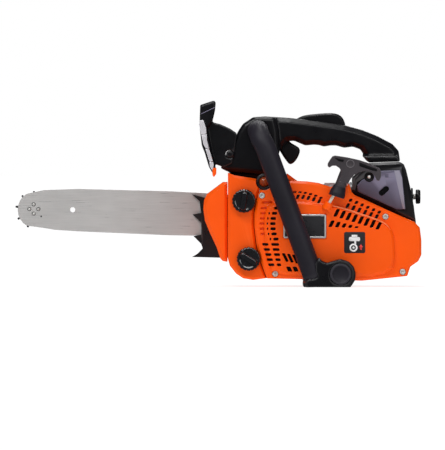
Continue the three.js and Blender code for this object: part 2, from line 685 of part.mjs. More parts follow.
function topHandle() {
  const front = [
    [4, 152], [27, 200], [33, 209], [46, 217.5], [62, 218.5], [74, 217.5], [78, 200], [80, 174], [76, 158],
    [58, 144.5], [12, 148],
  ];
  const base = [[186, 168], [232, 168], [235, 160.5], [195, 159]];
  const pivot = rod(GUARD_PIVOT.x, GUARD_PIVOT.z, 5, BLOCK_SIDE.left - 3.8, BLOCK_SIDE.right + 3.8, 24);
  const body = cut(
    join(
      plate(HANDLE_EDGE, GRIP_SIDE.left, GRIP_SIDE.right, 6),
      plate(front, BLOCK_SIDE.left, BLOCK_SIDE.right, 4),
      plate(base, -34, 22, 2),
      plate([[14.5, 128], [47, 128], [47, 137.5], [62, 137.5], [62, 152], [14.5, 152]], -25.6, -24.2),
      pivot,
    ),
    // The trigger and the lockout work in one slot through the grip's middle.
    block(70, 112, -12.5, 0.5, 140, 206),
    block(24, 64, -22, 17, 120, 194),
    block(92, 168, -12.5, 0.5, 190, 230),
    rod(64, 184, 8, 20, 60, 24),
    pin([52, -70, 200], [52, -36, 200], TUBE_R + GAP, 28),
  );
  const axles = join(rod(84, 190, 2, -14, 2, 12), rod(98, 204, 2, -14, 2, 12));
  add("top_handle", body.add(axles), "black");
  const trigger = join(
    plate(
      smooth(
        [
          [79, 196], [90, 193], [93, 186], [106, 176.5], [103, 165], [97, 158], [93, 157], [89, 161],
          [80, 175], [76, 186],
        ],
        32,
      ),
      -12,
      0,
      2,
    ),
  );
  add("throttle_trigger", cut(trigger, rod(84, 190, 2.1, -30, 20, 16)), "black");
  const lever = plate(
    smooth(
      [
        [92, 205], [96, 211], [108, 218.5], [126, 221.6], [150, 222.4], [158, 219.5], [163, 213],
        [164, 204], [150, 200], [104, 198.5],
      ],
      34,
    ),
    -12,
    0,
    2,
  );
  add("lockout_lever", cut(lever, rod(98, 204, 2.1, -30, 20, 16)), "black");
  const rocker = join(
    rod(64, 184, 7.6, 24, 31, 24),
    plate([[58, 180], [70, 180], [68, 188], [60, 188]], 30, 34.5, 1),
  );
  add("stop_switch", rocker, "red");
}

function handGuard() {
  const paddle = [
    [-22, 233], [-4, 239], [-2, 236], [-3, 226], [-6, 213], [-13, 203], [-7, 170], [-3, 158], [-1.5, 147],
    [-4, 142], [-7, 147], [-11, 154], [-16, 171], [-20, 181], [-23, 207],
  ];
  const web = [
    [-14, 206], [-6, 211], [4, 208.5], [16, 203], [25, 197], [23, 181], [20, 168], [19, 158], [8, 153],
    [0, 156], [-10, 172],
  ];
  const paddles = cut(plate(paddle, -58, 46, 2), block(-30, 10, -36, 24, 168, 218));
  const body = cut(
    join(
      paddles,
      plate(web, BLOCK_SIDE.left - 3.8, BLOCK_SIDE.left - GAP),
      plate(web, BLOCK_SIDE.right + GAP, BLOCK_SIDE.right + 3.8),
    ),
    rod(GUARD_PIVOT.x, GUARD_PIVOT.z, 5.3, -70, 60, 24),
  );
  add("hand_guard", body, "black");
}

function frontHandle() {
  const straight = (z) => [GRIP_TOP.x + (GRIP_TOP.z - z) * GRIP_TOP.lean, HANDLE_Y, z];
  const bend = [[56, -97, 189], [53, -87, 197], [52, -74, 200]];
  const tube = [
    straight(9), straight(84), straight(147), straight(GRIP_TOP.z), ...bend, [52, -56, 200],
    [52, -37, 200],
  ];
  const sleeve = [straight(11), straight(80), straight(147), straight(GRIP_TOP.z), ...bend, [52, -50, 200]];
  add("handle_grip", swept(sleeve, GRIP_R, 6, 21, TUBE_R + 1.5), "grip");
  add("front_handle", swept(tube, TUBE_R, 6, 24), "grip");
  const edge = [
    [112.5, 0], [171, 1.5], [175.6, 9], [176.8, 17], [174.4, 26], [168, 33], [157, 36.4], [147, 33.8],
    [140.5, 31.5], [134, 33.6],
    [130, 38.5], [124, 30], [124, 17], [117, 12], [111, 6],
  ];
  const bracket = cut(
    join(plate(edge, -115, -86.4, 2), block(110, 171, -90, 40, 0, 6.6)),
    pin(straight(8.7), straight(70), TUBE_R + GAP, 28),
    pin(straight(10.7), straight(70), GRIP_R + GAP, 28),
    rod(FOOT.x, FOOT.z, 14.2, -120, -103, 32),
  );
  add("handle_foot", bracket, "black");
  const plug = turned(
    FOOT.x,
    FOOT.z,
    [[0, -114], [8.5, -114], [9.4, -115.4], [12, -115.4], [13.9, -114], [13.9, -103.3], [0, -103.3]],
    32,
  );
  add("foot_damper", plug, "grip");
}

// ---- starter ------------------------------------------------------------------------------

function starter() {
  const pulley = turned(
    CRANK.x,
    CRANK.z,
    [
      [0, -71], [29, -71], [29, -69], [25, -67], [25, -61], [29, -59], [29, -57], [19, -57], [19, -50],
      [0, -50],
    ],
    26,
  );
  const body = cut(
    pulley,
    rod(CRANK.x, CRANK.z, SHAFT_R + GAP, -90, -30, 40),
    around(CRANK.x, CRANK.z, 4, () => rod(CRANK.x + 14, CRANK.z, 3.2, -90, -40, 12)),
  );
  add("starter_pulley", body, "black");
  const turns = [];
  for (let i = 0; i <= 48; i++) {
    const angle = (i / 48) * 5 * Math.PI;
    const r = 9 + i * 0.375;
    turns.push([CRANK.x + r * Math.cos(angle), CRANK.z + r * Math.sin(angle)]);
  }
  const back = turns.map(
    ([x, z], i) => [x + 1.2 * Math.cos((i / 48) * 5 * Math.PI), z + 1.2 * Math.sin((i / 48) * 5 * Math.PI)],
  );
  add("recoil_spring", plate([...turns, ...back.reverse()], -76.6, -71.6), "steel");
  // The T-shaped grip, its stem and the collar that the rope enters.
  const head = [
    [149, 168], [164, 167], [175, 165], [195, 159], [207, 152], [210, 146], [208, 137], [204, 136],
    [199, 140], [190, 145.5],
    [180, 145.5], [173, 141], [167, 131], [163, 125], [160, 121], [161, 115], [156, 112], [141, 121],
    [146, 127], [152, 130], [157, 142],
    [158, 148], [155, 153], [147, 156], [142, 154.5], [141, 158],
  ];
  const grip = cut(
    plate(head, PULL.y - 8, PULL.y + 8, 1.5),
    pin(rope(-6), rope(15), 2.5, 12),
    plate([[153, 160], [160, 162.5], [158, 165], [151, 164]], -110, PULL.y - 5),
    plate([[183, 155], [202, 147], [204, 149.5], [185, 158]], -110, PULL.y - 5),
  );
  add("starter_handle", grip, "brown");
  add("starter_rope", pin(rope(-12), rope(14), 1.9, 10), "white");
}

crankcase();
cylinder();
crankshaft();
flywheel();
muffler();
carburettor();
clutch();
bar();
starterHousing();
tank();
coversAtTheFront();
clutchCover();
rearHousing();
topHandle();
handGuard();
frontHandle();
starter();

export default saw;
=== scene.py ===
# The chainsaw's visual model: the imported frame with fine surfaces, trim and materials.
import bmesh
import bpy
import json
import math
from mathutils import Matrix, Vector


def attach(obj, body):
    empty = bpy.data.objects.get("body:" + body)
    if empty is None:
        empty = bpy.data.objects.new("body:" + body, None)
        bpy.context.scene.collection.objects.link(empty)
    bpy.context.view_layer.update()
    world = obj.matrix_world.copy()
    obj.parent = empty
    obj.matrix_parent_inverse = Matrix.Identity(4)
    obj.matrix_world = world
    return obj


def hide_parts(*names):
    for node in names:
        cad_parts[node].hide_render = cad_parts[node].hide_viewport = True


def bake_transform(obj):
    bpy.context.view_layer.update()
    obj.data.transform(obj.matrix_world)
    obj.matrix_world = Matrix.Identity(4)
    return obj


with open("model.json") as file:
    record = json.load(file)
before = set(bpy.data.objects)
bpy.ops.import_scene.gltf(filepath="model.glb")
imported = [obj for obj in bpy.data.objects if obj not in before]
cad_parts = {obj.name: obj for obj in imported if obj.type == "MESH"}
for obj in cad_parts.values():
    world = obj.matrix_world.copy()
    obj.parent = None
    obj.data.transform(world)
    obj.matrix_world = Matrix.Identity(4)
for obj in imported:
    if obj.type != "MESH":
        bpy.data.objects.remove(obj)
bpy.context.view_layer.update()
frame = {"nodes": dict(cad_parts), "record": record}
scene = bpy.context.scene

MM = 0.001
SAME_POINT = 0.00002  # points closer than this, in metres, are one
CENTRE_Y = 15.5  # the frame's shift along Y, in mm, from the crankcase's parting plane


def at(x, y, z):
    """A point given in mm from the crankcase's parting plane, in the frame's metres."""
    return Vector((x * MM, (y + CENTRE_Y) * MM, z * MM))


# ---- materials ------------------------------------------------------------------------------


def nodes_of(name):
    """A new node material, its node tree and its shader."""
    mat = bpy.data.materials.new(name)
    mat.use_nodes = True
    tree = mat.node_tree
    shader = tree.nodes["Principled BSDF"]
    return mat, tree, shader


def noise(tree, scale, detail=3.0, stretch=None):
    """A noise factor in object space, stretched along an axis for brushed or drawn surfaces."""
    coords = tree.nodes.new("ShaderNodeTexCoord")
    source = coords.outputs["Object"]
    if stretch:
        mapping = tree.nodes.new("ShaderNodeMapping")
        mapping.inputs["Scale"].default_value = stretch
        tree.links.new(source, mapping.inputs["Vector"])
        source = mapping.outputs["Vector"]
    texture = tree.nodes.new("ShaderNodeTexNoise")
    texture.inputs["Scale"].default_value = scale
    texture.inputs["Detail"].default_value = detail
    tree.links.new(source, texture.inputs["Vector"])
    return texture.outputs["Fac"]


def ramp(tree, factor, low, high, start=0.35, end=0.65):
    """Two colours blended by a factor."""
    node = tree.nodes.new("ShaderNodeValToRGB")
    node.color_ramp.elements[0].position = start
    node.color_ramp.elements[1].position = end
    node.color_ramp.elements[0].color = (*low, 1)
    node.color_ramp.elements[1].color = (*high, 1)
    tree.links.new(factor, node.inputs["Fac"])
    return node.outputs["Color"]


def spread(tree, factor, low, high):
    """A factor mapped to a range of values."""
    node = tree.nodes.new("ShaderNodeMapRange")
    node.inputs["From Min"].default_value = 0.3
    node.inputs["From Max"].default_value = 0.7
    node.inputs["To Min"].default_value = low
    node.inputs["To Max"].default_value = high
    tree.links.new(factor, node.inputs["Value"])
    return node.outputs["Result"]


def mix(tree, factor, a, b):
    """One colour blended into another; each may be a constant or a socket."""
    node = tree.nodes.new("ShaderNodeMix")
    node.data_type = "RGBA"
    tree.links.new(factor, node.inputs["Factor"])
    for socket, colour in ((node.inputs[6], a), (node.inputs[7], b)):
        if isinstance(colour, tuple):
            socket.default_value = (*colour, 1)
        else:
            tree.links.new(colour, socket)
    return node.outputs[2]


def edges(tree, start=0.52, end=0.60):
    """A mask of worn outer edges."""
    geometry = tree.nodes.new("ShaderNodeNewGeometry")
    node = tree.nodes.new("ShaderNodeMapRange")
    node.inputs["From Min"].default_value = start
    node.inputs["From Max"].default_value = end
    tree.links.new(geometry.outputs["Pointiness"], node.inputs["Value"])
    return node.outputs["Result"]


def bump(tree, shader, height, strength, distance):
    """Relief from a height, so deep in metres."""
    node = tree.nodes.new("ShaderNodeBump")
    node.inputs["Strength"].default_value = strength
    node.inputs["Distance"].default_value = distance
    tree.links.new(height, node.inputs["Height"])
    tree.links.new(node.outputs["Normal"], shader.inputs["Normal"])


def moulded(name, colour, rough, grain=900, depth=0.15, wear=0.25, coat=0.0, tone=0.12, shine=0.4):
    """Injection-moulded plastic: fine grain, slow colour change, lighter rubbed edges."""
    mat, tree, shader = nodes_of(name)
    darker = tuple(c * (1 - tone) for c in colour)
    lighter = tuple(min(1, c * (1 + tone)) for c in colour)
    base = ramp(tree, noise(tree, 14), darker, lighter)
    rubbed = tuple(min(1, c * (1 + wear) + 0.05 * wear) for c in colour)
    tree.links.new(mix(tree, edges(tree), base, rubbed), shader.inputs["Base Color"])
    roughness = spread(tree, noise(tree, 60), rough * 0.85, min(1, rough * 1.2))
    tree.links.new(roughness, shader.inputs["Roughness"])
    bump(tree, shader, noise(tree, grain, 4), depth, 0.0002)
    shader.inputs["Coat Weight"].default_value = coat
    shader.inputs["Coat Roughness"].default_value = 0.12
    shader.inputs["Specular IOR Level"].default_value = shine
    return mat


def metal(name, colour, rough, brushed=None, depth=0.12, wear=0.3, scale=700, metallic=1.0):
    """Bare or coated metal, brushed along one axis or cast."""
    mat, tree, shader = nodes_of(name)
    streak = noise(tree, scale, 4, brushed)
    darker = tuple(c * 0.82 for c in colour)
    base = ramp(tree, streak, darker, colour, 0.3, 0.7)
    stain = ramp(tree, noise(tree, 25, 5), tuple(c * 0.9 for c in colour), colour)
    blend = mix(tree, noise(tree, 40), base, stain)
    bright = tuple(min(1, c * (1 + wear)) for c in colour)
    tree.links.new(mix(tree, edges(tree), blend, bright), shader.inputs["Base Color"])
    tree.links.new(spread(tree, streak, rough * 0.75, min(1, rough * 1.3)), shader.inputs["Roughness"])
    shader.inputs["Metallic"].default_value = metallic
    bump(tree, shader, streak, depth, 0.0001)
    return mat


def rope_material():
    """A braided cord: diagonal bands with a soft, rough surface."""
    mat, tree, shader = nodes_of("rope_braid")
    coords = tree.nodes.new("ShaderNodeTexCoord")
    wave = tree.nodes.new("ShaderNodeTexWave")
    wave.bands_direction = "DIAGONAL"
    wave.inputs["Scale"].default_value = 260
    wave.inputs["Distortion"].default_value = 2
    tree.links.new(coords.outputs["Object"], wave.inputs["Vector"])
    colour = ramp(tree, wave.outputs["Fac"], (0.52, 0.46, 0.36), (0.86, 0.82, 0.74), 0.2, 0.8)
    tree.links.new(colour, shader.inputs["Base Color"])
    tree.links.new(spread(tree, noise(tree, 500), 0.7, 0.95), shader.inputs["Roughness"])
    bump(tree, shader, wave.outputs["Fac"], 0.6, 0.0004)
    return mat


def translucent(name, colour):
    """A cloudy plastic that lets some light through."""
    mat, tree, shader = nodes_of(name)
    tone = ramp(tree, noise(tree, 50), tuple(c * 0.7 for c in colour), colour)
    tree.links.new(tone, shader.inputs["Base Color"])
    tree.links.new(spread(tree, noise(tree, 200), 0.12, 0.25), shader.inputs["Roughness"])
    shader.inputs["Transmission Weight"].default_value = 0.35
    shader.inputs["Coat Weight"].default_value = 0.4
    bump(tree, shader, noise(tree, 300), 0.05, 0.0002)
    return mat


LOOKS = {
    "orange": moulded(
        "orange_gloss", (1.0, 0.098, 0.001), 0.34,
        grain=1500, depth=0.03, wear=0.1, coat=0.18, tone=0.05, shine=0.16,
    ),
    "black": moulded(
        "black_satin", (0.0035, 0.0035, 0.005), 0.3,
        grain=1100, depth=0.15, wear=1.5, coat=0.0, tone=0.2, shine=0.4,
    ),
    "grip": moulded(
        "grip_rubber", (0.013, 0.011, 0.018), 0.5,
        grain=1400, depth=0.3, wear=0.8, coat=0.0, tone=0.15, shine=0.35,
    ),
    "grey": moulded(
        "grey_satin", (0.12, 0.11, 0.165), 0.42,
        grain=1200, depth=0.25, wear=0.5, coat=0.0, tone=0.1, shine=0.3,
    ),
    "brown": moulded(
        "brown_satin", (0.055, 0.047, 0.053), 0.36,
        grain=1200, depth=0.3, wear=1.4, coat=0.0, tone=0.2, shine=0.3,
    ),
    "steel": metal(
        "bar_steel", (0.66, 0.65, 0.64), 0.36,
        brushed=(0.04, 1, 1), depth=0.2, wear=0.2, scale=900, metallic=0.4,
    ),
    "dark": metal("black_oxide", (0.07, 0.07, 0.075), 0.42, depth=0.2, wear=2.5, scale=400),
    "alloy": metal("cast_alloy", (0.5, 0.5, 0.51), 0.5, depth=0.5, wear=0.3, scale=600),
    "red": translucent("bulb_red", (0.75, 0.12, 0.03)),
    "white": rope_material(),
    "cap": moulded(
        "cap_gloss", (0.004, 0.004, 0.006), 0.12,
        grain=1500, depth=0.03, wear=0.1, coat=1.0, tone=0.1, shine=0.6,
    ),
}
ZINC = metal("zinc_plate", (0.78, 0.77, 0.74), 0.28, depth=0.15, wear=0.2, scale=300, metallic=0.45)
CHROME = metal(
    "chrome_trim", (0.8, 0.8, 0.8), 0.14,
    brushed=(1, 1, 0.1), depth=0.04, wear=0.1, scale=200, metallic=0.5,
)
# Silver-grey that stands for light caught by glossy black ribs: a painted highlight.
RIB_HIGHLIGHT = metal("silver_rib_highlight", (0.74, 0.72, 0.76), 0.25, depth=0.05, wear=0.3, scale=90, metallic=0.3)
# A lighter orange for the dome's rim bead: a painted highlight.
RIDGE_HIGHLIGHT = moulded(
    "orange_ridge_highlight", (1.0, 0.2, 0.06), 0.3,
    grain=1500, depth=0.03, wear=0.1, coat=0.3, tone=0.05, shine=0.4,
)
# Near-black that stands for the shade in recesses, holes and gaps: painted shade.
HOLLOW_SHADE = moulded(
    "hollow_shade_black", (0.003, 0.003, 0.004), 0.5,
    grain=1100, depth=0.1, wear=0.0, coat=0.0, tone=0.2, shine=0.2,
)
# A darker orange for the vent grooves' floors: painted shade.
GROOVE_SHADE = moulded(
    "orange_groove_shade", (0.62, 0.035, 0.001), 0.4,
    grain=1500, depth=0.03, wear=0.0, coat=0.0, tone=0.1, shine=0.2,
)
RIVET_RING = metal("rivet_ring", (0.12, 0.12, 0.12), 0.4, depth=0.1, wear=0.2, scale=500, metallic=0.5)
PANEL_CHAMFER_HIGHLIGHT = moulded(
    "panel_chamfer_highlight", (0.27, 0.255, 0.32), 0.35,
    grain=1200, depth=0.2, wear=0.1, coat=0.0, tone=0.12, shine=0.3,
)
FOAM = moulded(
    "filter_foam", (0.55, 0.5, 0.4), 0.9, grain=350, depth=0.8, wear=0.1, coat=0.0, tone=0.2, shine=0.2,
)
SWITCH_RED = moulded(
    "switch_red", (0.55, 0.02, 0.012), 0.4,
    grain=1200, depth=0.1, wear=0.3, coat=0.1, tone=0.1, shine=0.3,
)
LABEL_BLACK = moulded(
    "label_black", (0.02, 0.02, 0.023), 0.3, grain=1500, depth=0.05, wear=0.2, coat=0.3, tone=0.15,
)
LABEL_WHITE = moulded(
    "label_white", (0.85, 0.85, 0.85), 0.4, grain=1500, depth=0.03, wear=0.1, coat=0.0, tone=0.04,
)
LABEL_RED = moulded(
    "label_red", (0.85, 0.06, 0.05), 0.4, grain=1500, depth=0.03, wear=0.1, coat=0.0, tone=0.06,
)

# ---- pieces ---------------------------------------------------------------------------------


def shade(mesh):
    """Smooth shading on every face."""
    mesh.polygons.foreach_set("use_smooth", [True] * len(mesh.polygons))


def piece(name, mesh, body, material, slot, *replaced):
    """A new visible piece that rides on a body; the slot it is given is not used."""
    obj = bpy.data.objects.new(name, mesh)
    scene.collection.objects.link(obj)
    mesh.materials.clear()
    mesh.materials.append(material)
    shade(mesh)
    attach(obj, body)
    if replaced:
        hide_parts(*replaced)
    return obj


def rounded(obj, width, segments=3, angle=30, flat=1.0):
    """Clean faces, then rounded edges with normals that keep the flats flat."""
    weld = obj.modifiers.new("weld", "WELD")
    weld.merge_threshold = SAME_POINT
    clean = obj.modifiers.new("clean", "DECIMATE")
    clean.decimate_type = "DISSOLVE"
    clean.angle_limit = math.radians(flat)
    bevel = obj.modifiers.new("bevel", "BEVEL")
    bevel.width = width * MM
    bevel.segments = segments
    bevel.limit_method = "ANGLE"
    bevel.angle_limit = math.radians(angle)
    bevel.miter_outer = "MITER_ARC"
    weighted = obj.modifiers.new("weighted", "WEIGHTED_NORMAL")
    weighted.keep_sharp = False
    weighted.weight = 80


def softened(obj, voxel, passes):
    """One continuous skin with soft edges, for what is moulded in the round."""
    weld = obj.modifiers.new("weld", "WELD")
    weld.merge_threshold = SAME_POINT
    remesh = obj.modifiers.new("remesh", "REMESH")
    remesh.mode = "VOXEL"
    remesh.voxel_size = voxel * MM
    remesh.use_smooth_shade = True
    smooth = obj.modifiers.new("smooth", "SMOOTH")
    smooth.factor = 0.5
    smooth.iterations = passes


def mesh_of(name, points, faces):
    """A checked mesh from points and faces."""
    mesh = bpy.data.meshes.new(name)
    mesh.from_pydata([tuple(p) for p in points], [], faces)
    mesh.validate()
    return mesh


def lathe(name, x, z, profile, sides=96, dent=None):
    """A turned piece about an axis along Y through (x, z), in mm; profile lists (radius, y) from
    one end of the axis to the other. dent(angle, radius, y) may pull a point inwards."""
    points = []
    rings = []
    for radius, y in profile:
        if radius < 1e-6:
            rings.append([len(points)])
            points.append(at(x, y, z))
            continue
        ring = []
        for i in range(sides):
            angle = 2 * math.pi * i / sides
            r = radius - (dent(angle, radius, y) if dent else 0)
            ring.append(len(points))
            points.append(at(x + r * math.cos(angle), y, z + r * math.sin(angle)))
        rings.append(ring)
    faces = []
    for a, b in zip(rings, rings[1:]):
        for i in range(sides):
            j = (i + 1) % sides
            quad = [a[i % len(a)], a[j % len(a)], b[j % len(b)], b[i % len(b)]]
            faces.append(list(dict.fromkeys(quad)))
    mesh = mesh_of(name, points, faces)
    work = bmesh.new()
    work.from_mesh(mesh)
    bmesh.ops.recalc_face_normals(work, faces=work.faces)
    work.to_mesh(mesh)
    work.free()
    return mesh


def slab(name, outline, low, high, round_by=0.0, segments=3):
    """A plate with an outline in X and Z, in mm, from y = low to y = high."""
    work = bmesh.new()
    bottom = [work.verts.new(at(x, low, z)) for x, z in outline]
    top = [work.verts.new(at(x, high, z)) for x, z in outline]
    work.faces.new(bottom)
    work.faces.new(top[::-1])
    for i in range(len(outline)):
        j = (i + 1) % len(outline)
        work.faces.new((bottom[j], bottom[i], top[i], top[j]))
    bmesh.ops.recalc_face_normals(work, faces=work.faces)
    if round_by:
        rims = [e for e in work.edges if abs(e.verts[0].co.y - e.verts[1].co.y) < 1e-9]
        bmesh.ops.bevel(work, geom=rims, offset=round_by * MM, segments=segments, profile=0.5, affect="EDGES")
    mesh = bpy.data.meshes.new(name)
    work.to_mesh(mesh)
    work.free()
    return mesh


def ellipse(x, z, rx, rz, turn=0.0, steps=40):
    """Points of an ellipse, turned by an angle."""
    made = []
    for i in range(steps):
        angle = 2 * math.pi * i / steps
        u, v = rx * math.cos(angle), rz * math.sin(angle)
        across = u * math.cos(turn) - v * math.sin(turn)
        made.append((x + across, z + u * math.sin(turn) + v * math.cos(turn)))
    return made


def round_box(x0, x1, z0, z1, r, steps=6):
    """A rectangle with round corners."""
    made = []
    corners = ((x1 - r, z1 - r, 0), (x0 + r, z1 - r, 90), (x0 + r, z0 + r, 180), (x1 - r, z0 + r, 270))
    for cx, cz, start in corners:
        for i in range(steps + 1):
            angle = math.radians(start + 90 * i / steps)
            made.append((cx + r * math.cos(angle), cz + r * math.sin(angle)))
    return made


def smooth_path(points, steps):
    """A Catmull-Rom curve through the points, with so many steps between each two."""
    ends = [2 * points[0] - points[1], *points, 2 * points[-1] - points[-2]]
    made = []
    for a, b, c, d in zip(ends, ends[1:], ends[2:], ends[3:]):
        for i in range(steps):
            t = i / steps
            made.append(
                0.5
                * (2 * b + (c - a) * t + (2 * a - 5 * b + 4 * c - d) * t * t + (3 * b - a - 3 * c + d) * t ** 3)
            )
    made.append(points[-1])
    return made


def tube(name, points, radius, sides=48, steps=10, flare=None):
    """A round bar along a path, with its ends closed; flare(t) scales the radius along it."""
    path = smooth_path(points, steps)
    verts = []
    faces = []
    side = Vector((0, 1, 0)).cross(path[1] - path[0]).normalized()
    for k, p in enumerate(path):
        way = (path[min(k + 1, len(path) - 1)] - path[max(k - 1, 0)]).normalized()
        side = (side - way * side.dot(way)).normalized()
        up = way.cross(side)
        r = radius * MM * (flare(k / (len(path) - 1)) if flare else 1)
        for i in range(sides):
            angle = 2 * math.pi * i / sides
            verts.append(p + side * r * math.cos(angle) + up * r * math.sin(angle))
    for k in range(len(path) - 1):
        for i in range(sides):
            j = (i + 1) % sides
            faces.append([k * sides + i, k * sides + j, (k + 1) * sides + j, (k + 1) * sides + i])
    faces.append(list(range(sides))[::-1])
    faces.append([(len(path) - 1) * sides + i for i in range(sides)])
    return mesh_of(name, verts, faces)

# ---- the CAD nodes' finish ------------------------------------------------------------------

SLOT_OF = {part["node"]: part["material_slot"] for part in frame["record"]["subparts"]}
SOFT = {
    "top_handle": (1.3, 7),
    "hand_guard": (1.2, 4),
    "starter_handle": (0.8, 5),
    "handle_foot": (1.2, 4),
    "throttle_trigger": (0.7, 5),
    "lockout_lever": (0.7, 5),
    "plug_boot": (0.7, 3),
    "starter_housing": (0.6, 3),
    "clutch_cover": (0.8, 4),
}
EDGE = {"tank_housing": 1.2, "muffler_cover": 1.0, "filter_housing": 1.3}
FINE = {
    "name_plate", "starter_rope", "recoil_spring", "nose_sprocket", "guide_bar", "clutch_hub",
    "tension_screw",
}

for node, obj in frame["nodes"].items():
    obj.data.materials.clear()
    obj.data.materials.append(LOOKS[SLOT_OF[node]])
    shade(obj.data)
    if node in SOFT:
        softened(obj, *SOFT[node])
    else:
        rounded(obj, EDGE.get(node, 0.2 if node in FINE else 0.45))

for node in ("starter_screw_1", "starter_screw_2", "starter_screw_3", "starter_screw_4"):
    frame["nodes"][node].data.materials[0] = ZINC
frame["nodes"]["air_filter"].data.materials[0] = FOAM
frame["nodes"]["stop_switch"].data.materials[0] = SWITCH_RED

# ---- front handle ---------------------------------------------------------------------------

HANDLE_Y = -101  # the front handle's plane
GRIP_TOP = (61.6, 178)  # where the straight part of the handle ends
GRIP_LEAN = 0.373  # how far it leans back for each mm down


def straight(z):
    """A point on the front handle's straight part."""
    return at(GRIP_TOP[0] + (GRIP_TOP[1] - z) * GRIP_LEAN, HANDLE_Y, z)


def front_handle():
    """The bare tube and the rubber sleeve over it, with a lip at each end."""
    bend = [at(56, -97, 189), at(53, -87, 197), at(52, -74, 200)]
    rise = [straight(84), straight(147), straight(GRIP_TOP[1]), *bend]
    bar = [straight(9), *rise, at(52, -56, 200), at(52, -37, 200)]
    piece("handle_tube", tube("handle_tube", bar, 11.3), "saw", LOOKS["grip"], "grip", "front_handle")
    sleeve = [straight(11), straight(80), *rise[1:], at(52, -50, 200)]
    lip = lambda t: 0.95 if t in (0, 1) else (1.02 if t < 0.012 or t > 0.988 else 1.0)
    cover = tube("grip_sleeve", sleeve, 13.2, 64, 14, lip)
    piece("grip_sleeve", cover, "saw", LOOKS["grip"], "grip", "handle_grip")


# ---- caps, bulb and plug --------------------------------------------------------------------


def scallop(angle, radius, y):
    """The finger grooves around a cap's side."""
    return 0.7 * max(0.0, math.cos(18 * angle)) ** 2 if radius > 14 and y > -83.5 else 0.0


def caps():
    """The fuel cap and the bar-oil cap, each with a bar to turn it by."""
    for node, x, z, tilt in (("fuel_cap", 34, 110, 8), ("oil_cap", 40, 36, -58)):
        profile = [
            (0, -82.8), (9, -82.8), (11.2, -83.4), (12.6, -84.2), (13.8, -84.0), (14.9, -82.9),
            (15.3, -81.6), (15.3, -75.6), (14.8, -74.4), (10.4, -74.3), (9.6, -74.2),
            (9.6, -64), (0, -64),
        ]
        shell = node + "_shell"
        piece(shell, lathe(shell, x, z, profile, 180, scallop), node, LOOKS["cap"], "black", node)
        outline = round_box(x - 3.8, x + 3.8, z - 12, z + 12, 3.6)
        grip = node + "_grip"
        bar = piece(grip, slab(grip, outline, -88.4, -82.2, 2.6, 6), node, LOOKS["cap"], "black")
        spin(bar, x, z, tilt)


def spin(obj, x, z, degrees):
    """Turns a new piece's mesh about the Y axis through (x, z)."""
    centre = at(x, 0, z)
    turn = Matrix.Rotation(math.radians(degrees), 4, "Y")
    obj.data.transform(Matrix.Translation(centre) @ turn @ Matrix.Translation(-centre))


def primer():
    """The primer bulb and its ring."""
    ring = [
        (0, -60.2), (6.9, -60.2), (7.0, -65.2), (7.6, -66), (9.4, -66), (10.3, -65.1),
        (10.4, -58.4), (0, -58.2),
    ]
    piece("primer_ring", lathe("primer_ring", 60, 134.6, ring), "saw", LOOKS["black"], "black", "primer_base")
    dome = [(0, -71)] + [
        (6.2 * math.sin(math.radians(a)), -65 - 6 * math.cos(math.radians(a))) for a in range(10, 91, 8)
    ] + [(6.6, -64.6), (6.6, -64.3), (0, -64.3)]
    piece("primer_dome", lathe("primer_dome", 60, 134.6, dome), "primer", LOOKS["red"], "red", "primer_bulb")


def foot_plug():
    """The round rubber damper in the handle foot."""
    profile = [
        (0, -113.9), (9.4, -113.9), (9.9, -114.3), (10.5, -115.1), (12.6, -115.3),
        (13.4, -114.8), (13.9, -113.8),
        (13.9, -103.4), (0, -103.4),
    ]
    plug = lathe("damper_plug", 157.3, 16.9, profile)
    piece("damper_plug", plug, "saw", LOOKS["grip"], "grip", "foot_damper")


def turned_x(name, y, z, profile, sides=72, dent=None):
    """A turned piece about an axis along X through (y, z), in mm; profile lists (radius, x)."""
    verts = []
    faces = []
    rings = []
    for radius, x in profile:
        ring = []
        for i in range(sides if radius else 1):
            angle = 2 * math.pi * i / sides
            r = radius - (dent(angle, radius) if dent else 0)
            ring.append(len(verts))
            verts.append(at(x, y + r * math.cos(angle), z + r * math.sin(angle)))
        rings.append(ring)
    for a, b in zip(rings, rings[1:]):
        for i in range(sides):
            j = (i + 1) % sides
            corners = [a[i % len(a)], b[i % len(b)], b[j % len(b)], a[j % len(a)]]
            faces.append(list(dict.fromkeys(corners)))
    return mesh_of(name, verts, faces)


def knob():
    """The choke knob with its stem, and the flange it goes through."""
    y, z = -6, 115.2
    grip = lambda angle, r: 0.6 * max(0, math.cos(10 * angle)) if 8.8 < r else 0
    head = [(0, 255), (8.4, 255.1), (9.2, 256), (9.2, 259.4), (8.4, 260.9), (7.2, 261.2), (0, 261.2)]
    piece("knob", turned_x("knob", y, z, head, 72, grip), "choke", LOOKS["black"], "black", "choke_knob")
    stem = [(0, 240), (2.4, 240), (2.4, 251.8), (3.6, 251.9), (3.6, 255.4), (0, 255.4)]
    piece("knob_stem", turned_x("knob_stem", y, z, stem), "choke", ZINC, "steel")
    flange = [(2.8, 249), (11, 249), (11.4, 249.6), (11.2, 251), (10.4, 251.5), (2.8, 251.5), (2.8, 249)]
    piece("knob_flange", turned_x("knob_flange", y, z, flange), "saw", LOOKS["black"], "black")


# ---- starter rope ---------------------------------------------------------------------------

PULL_Y = -91  # the rope's plane
PULL_AXIS = (0.48, 0.877)  # the way the rope is pulled


def rope_point(d):
    """A point on the rope's straight run, so far from where it leaves the housing."""
    return at(146 + PULL_AXIS[0] * d, PULL_Y, 113 + PULL_AXIS[1] * d)


def rope():
    """The rope, a straight cord between the housing and the handle."""
    steps = 60
    path = [rope_point(-12 + 26 * i / steps) for i in range(steps + 1)]
    mesh = tube("rope", path, 1.9, 24, 2)
    mesh.materials.append(LOOKS["white"])
    shade(mesh)
    cord = bpy.data.objects.new("rope", mesh)
    scene.collection.objects.link(cord)
    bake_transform(cord)
    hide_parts("starter_rope")


